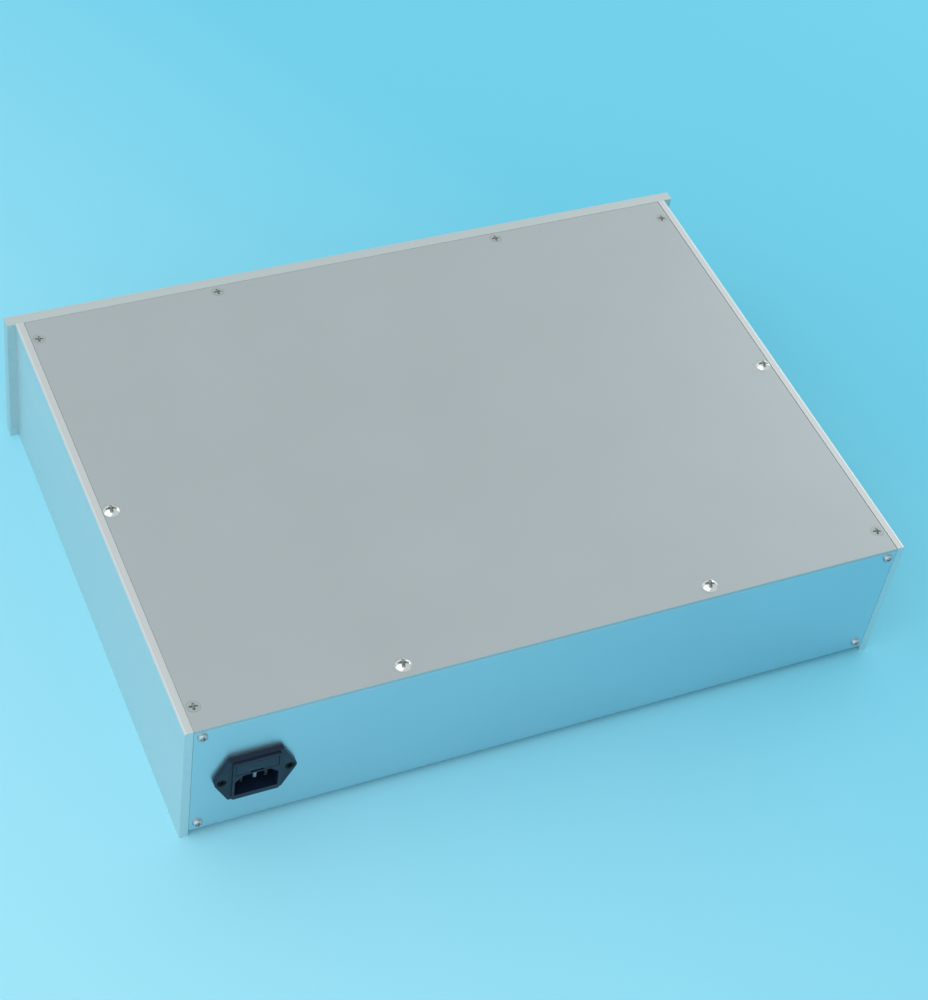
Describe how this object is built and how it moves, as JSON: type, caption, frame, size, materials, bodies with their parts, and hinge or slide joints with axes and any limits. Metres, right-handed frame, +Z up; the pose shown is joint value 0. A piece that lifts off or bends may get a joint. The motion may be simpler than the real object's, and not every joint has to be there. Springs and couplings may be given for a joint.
{
  "type": "equipment chassis",
  "caption": "Flat aluminium equipment case with a thick front panel, extruded sides, a screwed top plate and a fused mains inlet in its folded rear panel.",
  "frame": {"origin": "middle of the footprint, on the surface that the chassis stands on", "axes": "+X to the right as seen from the front, +Y to the rear, +Z up"},
  "size_m": [0.44, 0.3244, 0.0954],
  "materials": {
    "panel_aluminium": "fine brushed, anodised",
    "profile_aluminium": "satin anodised extrusion",
    "plate_aluminium": "satin anodised sheet",
    "zinc_screws": "zinc plated",
    "bright_screws": "nickel plated",
    "black_screws": "black oxide",
    "inlet_plastic": "moulded, satin",
    "fuse_glass": "clear",
    "fuse_metal": "nickel plated",
    "contact_brass": "tinned"
  },
  "bodies": {
    "chassis": {"front_panel": "panel_aluminium", "left_side_profile": "profile_aluminium", "right_side_profile": "profile_aluminium", "top_plate": "plate_aluminium", "bottom_plate": "plate_aluminium", "rear_panel": "plate_aluminium", "front_bar": "profile_aluminium", "top_flat_screws": "zinc_screws", "top_dome_screws": "bright_screws", "front_bar_screws": "zinc_screws", "rear_panel_screws": "zinc_screws", "inlet_housing": "inlet_plastic", "inlet_screws": "black_screws", "inlet_nuts": "zinc_screws", "fuse_contacts": "contact_brass", "line_pin": "contact_brass", "neutral_pin": "contact_brass", "earth_pin": "contact_brass"},
    "drawer": {"fuse_drawer": "inlet_plastic", "fuse_tube": "fuse_glass", "fuse_caps": "fuse_metal"}
  },
  "joints": [
    {"name": "fuse_drawer_slide", "type": "slide", "parent": "chassis", "child": "drawer", "axis": [0, 1, 0], "range_m": [0, 0.012]}
  ]
}
